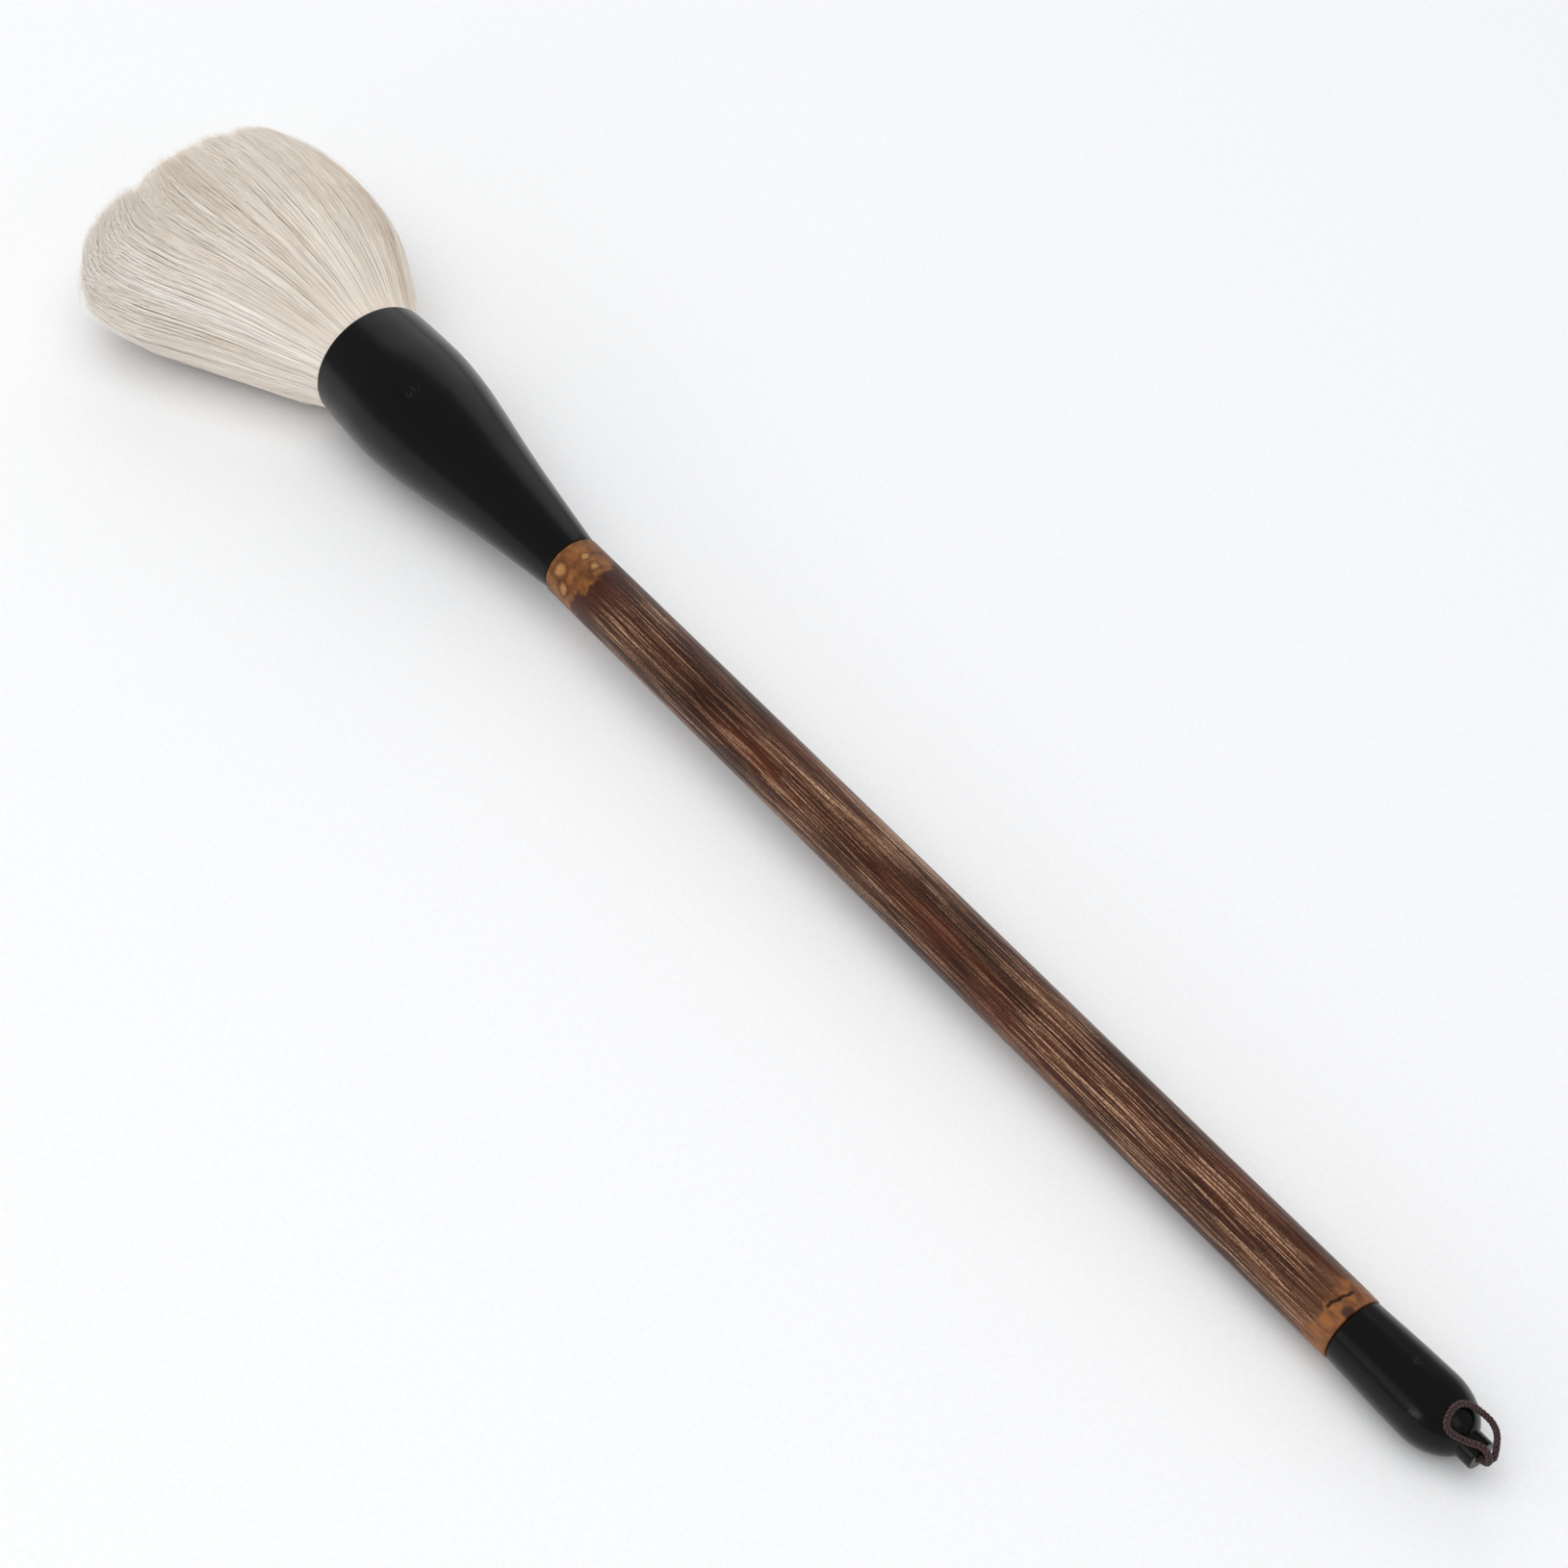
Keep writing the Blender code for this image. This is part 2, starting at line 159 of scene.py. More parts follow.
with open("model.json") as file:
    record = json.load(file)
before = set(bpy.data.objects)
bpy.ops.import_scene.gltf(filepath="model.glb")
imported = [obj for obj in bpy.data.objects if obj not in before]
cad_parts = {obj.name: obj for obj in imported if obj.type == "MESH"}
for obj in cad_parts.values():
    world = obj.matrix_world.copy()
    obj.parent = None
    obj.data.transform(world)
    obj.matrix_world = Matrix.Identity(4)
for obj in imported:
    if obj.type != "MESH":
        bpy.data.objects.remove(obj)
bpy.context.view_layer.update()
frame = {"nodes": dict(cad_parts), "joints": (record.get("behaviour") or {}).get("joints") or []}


def brush_frames():
    """World matrices of the brush's frame and of the head's, from the cord's twist joint."""
    twist = next(j for j in frame["joints"] if j["name"] == "cord_twist")
    along = Vector(twist["axis"]).normalized()
    across = Vector((0, 1, 0))
    up = along.cross(across)
    origin = Vector(twist["pos_m"]) - along * STUB_END_X * MM
    brush = Matrix.Identity(4)
    for i, column in enumerate((along, across, up, origin)):
        for row in range(3):
            brush[row][i] = column[row]
    return brush, brush @ Matrix.Rotation(math.radians(HEAD_YAW_DEG), 4, "Z")


BRUSH, HEAD = brush_frames()


# ---------------------------------------------------------------- camera, light, floor


def add_camera():
    """85 mm lens, at the photograph's viewing angle."""
    azimuth, elevation = math.radians(CAMERA_AZIMUTH_DEG), math.radians(CAMERA_ELEVATION_DEG)
    target = BRUSH.translation + Vector(CAMERA_TARGET_M)
    flat = math.cos(elevation)
    back = Vector((math.sin(azimuth) * flat, -math.cos(azimuth) * flat, math.sin(elevation)))
    data = bpy.data.cameras.new("camera")
    data.lens = 85
    data.sensor_width = 36
    camera = bpy.data.objects.new("camera", data)
    camera.rotation_mode = "QUATERNION"
    camera.rotation_quaternion = (-back).to_track_quat("-Z", "Y")
    camera.location = target + back * CAMERA_DISTANCE_M
    bpy.context.scene.collection.objects.link(camera)
    bpy.context.scene.camera = camera


def add_area_light(name, location, target, size, radiance, in_reflections):
    """Square or oblong soft light; radiance is what its reflection in a perfect mirror shows."""
    data = bpy.data.lights.new(name, "AREA")
    data.shape = "RECTANGLE"
    data.size, data.size_y = size
    data.energy = radiance * math.pi * size[0] * size[1]
    light = bpy.data.objects.new(name, data)
    light.location = location
    direction = Vector(target) - Vector(location)
    light.rotation_mode = "QUATERNION"
    light.rotation_quaternion = direction.to_track_quat("-Z", "Y")
    light.visible_camera = False
    light.visible_glossy = in_reflections
    bpy.context.scene.collection.objects.link(light)


def add_studio():
    """A bright white room: weak sky, a soft key and fill, and four boxes for gloss to mirror."""
    scene = bpy.context.scene
    scene.view_settings.view_transform = "Standard"
    scene.view_settings.look = "None"
    world = bpy.data.worlds.new("studio")
    world.use_nodes = True
    background = world.node_tree.nodes["Background"]
    background.inputs["Color"].default_value = (0.95, 0.97, 1.0, 1.0)
    background.inputs["Strength"].default_value = 0.42
    scene.world = world
    add_area_light("key", (0.2, -0.3, 1.7), (0, 0, 0), (2.2, 2.2), 1.50, False)
    add_area_light("side_box", (-1.15, 0.85, 0.75), (-0.1, 0, 0), (1.5, 1.3), 0.85, True)
    add_area_light("low_box", (-0.16, -0.95, 0.42), (0.15, 0, 0), (0.34, 0.42), 0.75, True)
    add_area_light("window", (0.13, -0.95, 0.36), (0.2, 0, 0), (0.20, 0.26), 3.6, True)
    add_area_light("end_box", (1.1, 0.05, 0.75), (0.2, 0, 0), (0.35, 0.35), 1.2, True)
    add_area_light("fill", (-1.2, -0.7, 0.6), (-0.2, 0, 0), (1.0, 1.0), 0.7, False)


def add_floor():
    half = 3.0
    corners = [(-half, -half, 0), (half, -half, 0), (half, half, 0), (-half, half, 0)]
    mesh = bpy.data.meshes.new("floor")
    mesh.from_pydata(corners, [], [(0, 1, 2, 3)])
    floor = bpy.data.objects.new("floor", mesh)
    bpy.context.scene.collection.objects.link(floor)
    n = Nodes("floor_paper")
    grain = n.noise(n.object_coordinates(), 900.0, detail=3.0)
    paper = n.ramp(grain, [(0.3, (0.90, 0.90, 0.90)), (0.7, (0.93, 0.93, 0.93))])
    mesh.materials.append(n.principled(colour=paper, roughness=0.9, specular=0.1))


# ---------------------------------------------------------------- materials


class Nodes:
    """A small builder for one procedural material."""

    def __init__(self, name):
        self.material = bpy.data.materials.new(name)
        self.material.use_nodes = True
        self.tree = self.material.node_tree
        self.shader = self.tree.nodes["Principled BSDF"]

    def new(self, kind, **settings):
        node = self.tree.nodes.new(kind)
        for key, value in settings.items():
            setattr(node, key, value)
        return node

    def link(self, source, socket):
        self.tree.links.new(source, socket)

    def feed(self, socket, value):
        """Links an output, or sets a constant."""
        if isinstance(value, bpy.types.NodeSocket):
            self.link(value, socket)
        elif isinstance(value, (tuple, list)) and len(value) == 3 and socket.type == "RGBA":
            socket.default_value = (*value, 1.0)
        else:
            socket.default_value = value

    def object_coordinates(self):
        return self.new("ShaderNodeTexCoord").outputs["Object"]

    def attribute(self, name):
        return self.new("ShaderNodeAttribute", attribute_name=name).outputs["Fac"]

    def math(self, operation, *values):
        node = self.new("ShaderNodeMath", operation=operation)
        for socket, value in zip(node.inputs, values):
            self.feed(socket, value)
        return node.outputs[0]

    def vector_math(self, operation, *values):
        node = self.new("ShaderNodeVectorMath", operation=operation)
        for socket, value in zip(node.inputs, values):
            self.feed(socket, value)
        return node.outputs

    def separate(self, vector):
        node = self.new("ShaderNodeSeparateXYZ")
        self.feed(node.inputs[0], vector)
        return node.outputs[:3]

    def scaled(self, vector, scale, shift=(0, 0, 0)):
        node = self.new("ShaderNodeMapping")
        self.feed(node.inputs["Vector"], vector)
        node.inputs["Scale"].default_value = scale
        node.inputs["Location"].default_value = shift
        return node.outputs["Vector"]

    def noise(self, vector, scale, detail=2.0, roughness=0.5, output="Fac"):
        """Noise with a number of waves per metre."""
        node = self.new("ShaderNodeTexNoise")
        self.feed(node.inputs["Vector"], vector)
        node.inputs["Scale"].default_value = scale
        node.inputs["Detail"].default_value = detail
        node.inputs["Roughness"].default_value = roughness
        return node.outputs[output]

    def grain(self, vector, scale, shift=(0, 0, 0), detail=2.0, roughness=0.5):
        """Noise with its own number of waves per metre along each axis."""
        return self.noise(self.scaled(vector, scale, shift), 1.0, detail, roughness)

    def warped(self, vector, scale, amount):
        """The vector, shifted about by up to half the amount in every direction."""
        wander = self.noise(self.scaled(vector, scale), 1.0, output="Color")
        centred = self.vector_math("SUBTRACT", wander, (0.5, 0.5, 0.5))["Vector"]
        return self.vector_math("MULTIPLY_ADD", centred, (amount,) * 3, vector)["Vector"]

    def distance(self, where, centre_mm):
        centre = tuple(c * MM for c in centre_mm)
        return self.vector_math("DISTANCE", where, centre)["Value"]

    def smooth_step(self, value, low, high):
        """0 below low, 1 above high; low may be the larger one."""
        node = self.new("ShaderNodeMapRange", interpolation_type="SMOOTHSTEP")
        self.feed(node.inputs["Value"], value)
        node.inputs["From Min"].default_value = low
        node.inputs["From Max"].default_value = high
        return node.outputs["Result"]

    def ramp(self, factor, stops):
        node = self.new("ShaderNodeValToRGB")
        self.feed(node.inputs["Fac"], factor)
        elements = node.color_ramp.elements
        while len(elements) < len(stops):
            elements.new(0.5)
        for element, (position, colour) in zip(elements, stops):
            element.position = position
            element.color = (*colour, 1.0)
        return node.outputs["Color"]

    def mix(self, factor, a, b):
        node = self.new("ShaderNodeMix", data_type="RGBA")
        self.feed(node.inputs["Factor"], factor)
        self.feed(node.inputs[6], a)  # the mix node's colour inputs and output share their names
        self.feed(node.inputs[7], b)  # with those of other types, so they go by number
        return node.outputs[2]

    def stain(self, colour, mask, strength, over):
        """The colour, with another of some strength over it where the mask is 1."""
        return self.mix(self.math("MULTIPLY", mask, strength), colour, over)

    def bump(self, height, strength, distance):
        node = self.new("ShaderNodeBump")
        self.feed(node.inputs["Height"], height)
        node.inputs["Strength"].default_value = strength
        node.inputs["Distance"].default_value = distance
        return node.outputs["Normal"]

    def principled(self, colour, roughness, specular=0.5, normal=None, **constants):
        self.feed(self.shader.inputs["Base Color"], colour)
        self.feed(self.shader.inputs["Roughness"], roughness)
        self.shader.inputs["Specular IOR Level"].default_value = specular
        if normal is not None:
            self.link(normal, self.shader.inputs["Normal"])
        for name, value in constants.items():
            self.feed(self.shader.inputs[name.replace("_", " ")], value)
        return self.material


def rgb(red, green, blue):
    """Linear colour from 0 to 255 display values."""
    out = []
    for value in (red, green, blue):
        v = value / 255
        out.append(v / 12.92 if v <= 0.04045 else ((v + 0.055) / 1.055) ** 2.4)
    return tuple(out)


def on_surface(x, radius, degrees):
    """The point at a distance along the axis, a radius from it, and an angle round it from +Y."""
    angle = math.radians(degrees)
    return x, radius * math.cos(angle), radius * math.sin(angle)


def black_lacquer():
    """Glossy black, with fine scratches, a little dust and some faint scuffs."""
    n = Nodes("black_lacquer")
    where = n.object_coordinates()
    cloud = n.noise(where, 60.0, detail=4.0)
    dust = n.noise(where, 2600.0, detail=1.0)
    speck = n.smooth_step(n.math("MULTIPLY", dust, n.smooth_step(cloud, 0.45, 0.75)), 0.56, 0.66)
    scratch = n.grain(where, (300.0, 2600.0, 2600.0), detail=3.0, roughness=0.7)
    flakes = n.smooth_step(n.noise(where, 1500.0, detail=4.0, roughness=0.7), 0.50, 0.66)
    haze = n.noise(where, 220.0, detail=5.0, roughness=0.65)
    colour = n.mix(speck, (0.0020, 0.0020, 0.0023), (0.018, 0.018, 0.020))
    for x, from_axis, degrees, radius in SMUDGES:
        away = n.distance(where, on_surface(x, from_axis, degrees))
        blur = n.smooth_step(away, radius * MM, 0.2 * radius * MM)
        colour = n.stain(colour, n.math("MULTIPLY", blur, flakes), 0.16, rgb(118, 122, 130))
    return n.principled(
        colour=colour,
        roughness=n.math("MULTIPLY_ADD", haze, 0.14, 0.16),
        specular=0.20,
        normal=n.bump(scratch, 0.06, 0.0002),
    )


def bamboo_skin(n, where):
    """The stained skin's colour, with the three noises that roughness and relief share with it."""
    grain = n.warped(where, (30.0, 160.0, 160.0), 0.0009)
    streak = n.grain(grain, (30.0, 2600.0, 2600.0), detail=1.5)
    hairline = n.grain(grain, (38.0, 4800.0, 4800.0), (8, 3, 5), detail=1.0)
    middle = n.grain(where, (60.0, 480.0, 480.0), (3, 1, 2), detail=4.0, roughness=0.6)
    broad = n.grain(where, (26.0, 150.0, 150.0), (7, 5, 1))
    fleck = n.grain(where, (1700.0, 3000.0, 3000.0), (2, 9, 4))
    tone = n.math("MULTIPLY_ADD", middle, 0.50, n.math("MULTIPLY", broad, 0.50))
    tone = n.math("MULTIPLY_ADD", n.math("SUBTRACT", fleck, 0.5), 0.35, tone)
    colour = n.ramp(
        tone,
        [
            (0.36, rgb(40, 20, 12)),
            (0.48, rgb(62, 35, 24)),
            (0.58, rgb(85, 52, 37)),
            (0.74, rgb(108, 74, 52)),
        ],
    )
    reddish = n.grain(where, (22.0, 150.0, 150.0), (1, 4, 8), detail=3.0)
    colour = n.stain(colour, n.smooth_step(reddish, 0.50, 0.68), 0.55, rgb(92, 44, 26))

    # Pale fibre ends: long lines and finer ones, broken into beads, denser in some zones.
    lines = n.smooth_step(streak, 0.575, 0.63)
    hairlines = n.smooth_step(hairline, 0.59, 0.64)
    pale = n.math("MAXIMUM", lines, n.math("MULTIPLY", hairlines, 0.8))
    zone = n.math("MULTIPLY_ADD", n.smooth_step(broad, 0.36, 0.58), 0.8, 0.2)
    beads = n.math("MULTIPLY_ADD", n.smooth_step(fleck, 0.36, 0.54), 0.6, 0.4)
    grown = n.smooth_step(n.separate(where)[0], 0.012, 0.026)
    pale = n.math("MULTIPLY", n.math("MULTIPLY", pale, zone), n.math("MULTIPLY", beads, grown))
    colour = n.stain(colour, pale, 0.85, rgb(192, 152, 120))
    colour = n.stain(colour, n.smooth_step(streak, 0.44, 0.36), 0.6, rgb(34, 20, 16))
    return colour, streak, middle, fleck


def ferrule_end(n, where, skin, wave):
    """Over the skin, a caramel patch beside the ferrule, with pale scars and a dark collar."""
    x, y, _ = n.separate(where)
    side = n.math("ADD", y, 0.0026)
    reach = n.math("MULTIPLY_ADD", wave, 0.014, x)
    reach = n.math("MULTIPLY_ADD", n.math("MULTIPLY", side, side), 80.0, reach)
    patch = n.smooth_step(reach, 0.0140, 0.0115)
    collar = n.smooth_step(reach, 0.0250, 0.0140)
    blotch = n.noise(n.scaled(where, (1.0, 1.3, 1.3)), 260.0, detail=4.0, roughness=0.65)
    caramel = n.ramp(
        blotch,
        [
            (0.34, rgb(88, 52, 28)),
            (0.46, rgb(116, 72, 38)),
            (0.58, rgb(136, 88, 46)),
            (0.72, rgb(158, 108, 56)),
        ],
    )
    for scar_x, degrees, radius in SCARS:
        away = n.distance(where, on_surface(scar_x, HANDLE_R, degrees))
        away = n.math("MULTIPLY_ADD", wave, 0.0042, away)
        ring = n.smooth_step(away, 2.3 * radius * MM, 1.2 * radius * MM)
        caramel = n.stain(caramel, ring, 0.62, rgb(84, 48, 30))
        core = n.smooth_step(away, 1.25 * radius * MM, 0.35 * radius * MM)
        caramel = n.stain(caramel, core, 0.9, rgb(178, 130, 78))
    colour = n.stain(skin, patch, 0.95, caramel)
    rim = n.math("MULTIPLY", collar, n.math("SUBTRACT", 1.0, patch))
    return n.stain(colour, rim, 0.65, rgb(66, 34, 28))


def crack_mask(n, where):
    """1 in the short crack across the grain, the same line that add_handle cuts."""
    x, y, z = n.separate(where)
    turn = n.math("MULTIPLY", n.math("ARCTAN2", z, y), 180 / math.pi)
    offset = n.math("SUBTRACT", turn, CRACK_DEG)
    line_x = n.math("MULTIPLY_ADD", offset, -CRACK_SLOPE * MM, CRACK_X * MM)
    wave = n.math("SINE", n.math("MULTIPLY", offset, CRACK_RIPPLE_RATE))
    line_x = n.math("MULTIPLY_ADD", wave, CRACK_RIPPLE * MM, line_x)
    gap = n.math("ABSOLUTE", n.math("SUBTRACT", x, line_x))
    near = n.smooth_step(n.math("ABSOLUTE", offset), CRACK_HALF_DEG, CRACK_HALF_DEG * 0.8)
    return n.math("MULTIPLY", n.smooth_step(gap, 0.00055, 0.00018), near)


def cap_end(n, where, skin, wave):
    """Over the skin, a warm and then amber end beside the cap, with the crack and a dark spot."""
    edge = n.math("MULTIPLY_ADD", wave, 0.012, n.separate(where)[0])
    colour = n.stain(skin, n.smooth_step(edge, 0.236, 0.248), 0.30, rgb(122, 80, 52))
    amber = n.ramp(
        n.noise(n.scaled(where, (1.0, 2.2, 2.2), (5, 5, 5)), 300.0, detail=3.0),
        [(0.32, rgb(104, 64, 40)), (0.5, rgb(136, 88, 54)), (0.68, rgb(156, 98, 48))],
    )
    colour = n.stain(colour, n.smooth_step(edge, 0.2455, 0.2490), 0.85, amber)
    colour = n.stain(colour, crack_mask(n, where), 0.9, rgb(34, 20, 14))
    blot = n.math("MULTIPLY_ADD", wave, 0.0030, n.distance(where, on_surface(*DARK_SPOT)))
    return n.stain(colour, n.smooth_step(blot, 0.0018, 0.0008), 0.85, rgb(58, 36, 30))


def bamboo_material():
    """Dark stained culm; its noises have few waves per metre along it and many round it."""
    n = Nodes("stained_bamboo")
    where = n.object_coordinates()
    skin, streak, middle, fleck = bamboo_skin(n, where)
    wave = n.math("SUBTRACT", n.noise(where, 260.0, detail=3.0), 0.5)
    colour = cap_end(n, where, ferrule_end(n, where, skin, wave), wave)
    relief = n.math("MULTIPLY_ADD", middle, 0.6, streak)
    return n.principled(
        colour=colour,
        roughness=n.math("MULTIPLY_ADD", fleck, 0.16, 0.28),
        specular=0.15,
        normal=n.bump(relief, 0.20, 0.0002),
    )


def hair_material(name, light, shade, painted_rim_light):
    """Hair between a light and a shaded colour, its ends whitened by some share: painted rim
    light.
    """
    n = Nodes(name)
    zone = n.grain(n.object_coordinates(), (40.0, 120.0, 120.0))
    tone = n.math("MULTIPLY_ADD", zone, 0.3, n.math("MULTIPLY", n.attribute("tint"), 0.85))
    between = tuple((a + 2 * b) / 3 for a, b in zip(shade, light))
    colour = n.ramp(tone, [(0.25, shade), (0.50, between), (0.85, light)])
    tips = n.smooth_step(n.attribute("reach"), 0.80, 1.0)
    return n.principled(
        # Painted rim light: the ends turn towards a cool white, where thin tips are lit through
        # against the white room.
        colour=n.stain(colour, tips, painted_rim_light, rgb(246, 247, 250)),
        roughness=0.62,
        specular=0.25,
        Sheen_Weight=0.25,
        Sheen_Roughness=0.4,
    )


def cord_material():
    """Matt maroon yarn; the yarns that wind one way are lifted towards a painted highlight colour.
    """
    n = Nodes("maroon_cord")
    fibre = n.noise(n.object_coordinates(), 9000.0)
    tone = n.math("MULTIPLY_ADD", n.attribute("tint"), 0.5, n.math("MULTIPLY", fibre, 0.5))
    # The top stop, a pale pink, is a painted highlight; the fibre noise puts specks of it on the
    # lighter yarns.
    colour = n.ramp(tone, [(0.2, rgb(24, 12, 14)), (0.5, rgb(50, 25, 27)), (0.8, rgb(96, 62, 62))])
    return n.principled(
        colour=colour,
        roughness=0.75,
        specular=0.2,
        normal=n.bump(fibre, 0.3, 0.0001),
        Sheen_Weight=0.3,
        Sheen_Roughness=0.5,
    )


def wood_material():
    n = Nodes("dowel_wood")
    grain = n.grain(n.object_coordinates(), (60.0, 1500.0, 1500.0), detail=4.0)
    colour = n.ramp(grain, [(0.35, rgb(150, 112, 72)), (0.65, rgb(196, 158, 112))])
    return n.principled(colour=colour, roughness=0.7, normal=n.bump(grain, 0.2, 0.0002))


def resin_material():
    n = Nodes("root_resin")
    cloud = n.noise(n.object_coordinates(), 300.0, detail=3.0)
    colour = n.ramp(cloud, [(0.3, rgb(96, 60, 20)), (0.7, rgb(150, 104, 48))])
    return n.principled(colour=colour, roughness=0.25, normal=n.bump(cloud, 0.2, 0.0005))


def thread_material():
    n = Nodes("binding_thread")
    twist = n.grain(n.object_coordinates(), (4000.0, 900.0, 900.0))
    colour = n.ramp(twist, [(0.3, rgb(150, 140, 118)), (0.7, rgb(206, 196, 172))])
    return n.principled(colour=colour, roughness=0.8, normal=n.bump(twist, 0.4, 0.0001))


# ---------------------------------------------------------------- shapes


def smooth_curve(points, steps):
    """Points along a Catmull-Rom curve through the given ones, `steps` to each stretch."""
    pts = np.array(points, dtype=float)
    pts = np.vstack([2 * pts[0] - pts[1], pts, 2 * pts[-1] - pts[-2]])
    out = []
    for p0, p1, p2, p3 in zip(pts[:-3], pts[1:-2], pts[2:-1], pts[3:]):
        for t in np.arange(steps) / steps:
            bend = (2 * p0 - 5 * p1 + 4 * p2 - p3) * t**2 + (3 * p1 - p0 - 3 * p2 + p3) * t**3
            out.append(0.5 * (2 * p1 + (p2 - p0) * t + bend))
    out.append(pts[-2])
    return np.array(out)


def arc(centre_x, centre_r, size_x, size_r, start_deg, end_deg, steps):
    """Points (x, r) on an ellipse; 0 degrees points along +X and 90 degrees away from the axis."""
    a = np.radians(np.linspace(start_deg, end_deg, steps + 1))
    return [(centre_x + size_x * math.cos(v), centre_r + size_r * math.sin(v)) for v in a]


def add_piece(name, points_mm, faces, place, material, attributes=None):
    """A mesh object in the given frame; attributes are per-point numbers for its material."""
    mesh = bpy.data.meshes.new(name)
    mesh.from_pydata((np.asarray(points_mm) * MM).tolist(), [], [list(f) for f in faces])
    mesh.materials.append(material)
    for key, values in (attributes or {}).items():
        layer = mesh.attributes.new(key, "FLOAT", "POINT")
        layer.data.foreach_set("value", np.asarray(values, dtype=np.float32))
    mesh.shade_smooth()
    mesh.set_sharp_from_angle(angle=math.radians(40))
    mesh.update()
    piece = bpy.data.objects.new(name, mesh)
    piece.matrix_world = place
    bpy.context.scene.collection.objects.link(piece)
    return piece


def turned(outline, segments, closed, wobble=None):
    """Points and faces of an outline (x, r) turned about the axis; wobble adds to its radii."""
    outline = [(float(x), float(r)) for x, r in outline]
    angles = 2 * math.pi * np.arange(segments) / segments
    points, rings = [], []
    for x, r in outline:
        if r < 1e-6:
            rings.append([len(points)] * segments)
            points.append((x, 0.0, 0.0))
            continue
        radii = np.full(segments, r) if wobble is None else r + wobble(x, angles)
        rings.append(list(range(len(points), len(points) + segments)))
        points += [(x, q * math.cos(a), q * math.sin(a)) for q, a in zip(radii, angles)]
    pairs = list(zip(rings[:-1], rings[1:]))
    if closed:
        pairs.append((rings[-1], rings[0]))
    faces = []
    for a, b in pairs:
        for i in range(segments):
            j = (i + 1) % segments
            face = []
            for v in (a[i], b[i], b[j], a[j]):
                if v not in face:
                    face.append(v)
            faces.append(face)
    return points, faces


def add_ferrule(material):
    """Socket, flared outside, rolled lip, cup and its floor, in one outline from axis to axis."""
    outer = smooth_curve(FERRULE_OUTLINE, 12)
    mouth = -FERRULE_LENGTH
    rim = arc(mouth + LIP, FERRULE_OUTLINE[-1][1] - LIP, LIP, LIP, 90, 180, 10)
    floor_x = mouth + CUP_DEPTH
    outline = [(-SOCKET_DEPTH, 0.0), (-SOCKET_DEPTH, SOCKET_R), (-0.3, SOCKET_R)]
    outline += arc(-0.55, 6.95, 0.25, 0.25, 0, 90, 4)
    outline += [tuple(p) for p in outer[1:-1]] + rim
    outline += [(mouth, CUP_MOUTH_R + 0.3), (mouth + 0.3, CUP_MOUTH_R)]
    outline += [(floor_x - 2.0, CUP_FLOOR_R), (floor_x, CUP_FLOOR_R - 1.5), (floor_x, 0.0)]
    points, faces = turned(outline, 160, False)
    piece = add_piece("ferrule_shell", points, faces, HEAD, material)
    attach(piece, "brush")
    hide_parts("ferrule")


def add_end_cap(material):
    """Stub, elliptic shoulder, skirt, dowel socket and cord hole, in one closed outline."""
    deg = math.degrees(math.asin(STUB_R / CAP_MAX_R))
    shoulder = arc(CAP_MAX_X, 0.0, CAP_SHOULDER, CAP_MAX_R, deg, 90, 28)
    outline = [(STUB_END_X, CORD_HOLE_R + 0.25)]
    outline += arc(STUB_END_X - 0.35, STUB_R - 0.35, 0.35, 0.35, 0, 90, 6)
    outline += shoulder
    outline += [(266.0, 7.76), (259.0, 7.48), (CAP_START_X + 0.2, CAP_START_R)]
    outline += [(CAP_START_X, CAP_START_R - 0.2), (CAP_START_X, SOCKET_R)]
    outline += [(CAP_SOCKET_END_X, SOCKET_R), (CAP_SOCKET_END_X, CORD_HOLE_R)]
    outline += [(STUB_END_X - 0.25, CORD_HOLE_R)]
    points, faces = turned(outline, 128, True)
    piece = add_piece("end_cap_shell", points, faces, BRUSH, material)
    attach(piece, "brush")
    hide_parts("end_cap")


def add_handle(material):
    """The culm, with faint long ridges and a crack in its skin beside the cap."""
    rng = np.random.default_rng(SEED)
    counts = (2, 3, 5, 9, 14, 23)
    waves = [(k, rng.uniform(0, 2 * math.pi), rng.uniform(0.004, 0.02)) for k in counts]

    def wobble(x, angles):
        out = np.zeros_like(angles)
        for k, phase, size in waves:
            out += size * np.sin(k * angles + phase + 0.004 * k * x)
        offset = (np.degrees(angles) - CRACK_DEG + 180) % 360 - 180
        ripple = CRACK_RIPPLE * np.sin(offset * CRACK_RIPPLE_RATE)
        line_x = CRACK_X - CRACK_SLOPE * offset + ripple
        deep = np.exp(-(((x - line_x) / 0.28) ** 2))
        return out - 0.35 * deep * np.clip(1 - (offset / CRACK_HALF_DEG) ** 2, 0, 1)

    edge, end_taper, taper_length = 0.2, 0.12, 5.0
    length = HANDLE_LENGTH
    fine = length - 7.0  # rings stand closer from here to the cap, where the crack is
    xs = np.linspace(length - edge, fine, 60).tolist() + np.linspace(fine, edge, 170)[1:].tolist()
    outline = [(length, HANDLE_R - edge - end_taper)]
    for x in xs:
        near_end = max(0.0, 1 - (length - x) / taper_length)
        outline.append((x, HANDLE_R - end_taper * near_end**2))
    outline += [(0.0, HANDLE_R - edge), (0.0, HANDLE_BORE_R), (length, HANDLE_BORE_R)]
    points, faces = turned(outline, 160, True, wobble)
    piece = add_piece("bamboo_culm", points, faces, BRUSH, material)
    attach(piece, "brush")
    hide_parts("bamboo_handle")


# ---------------------------------------------------------------- hair


def table_height(x):
    """Height of the table under the head, measured from the head's axis."""
    tilt = math.radians(TABLE_TILT_DEG)
    return -FERRULE_MAX_R / math.cos(tilt) + (x - FERRULE_MAX_X) * math.tan(tilt)


SECTION_TABLE = smooth_curve(HAIR_SECTIONS, 8)


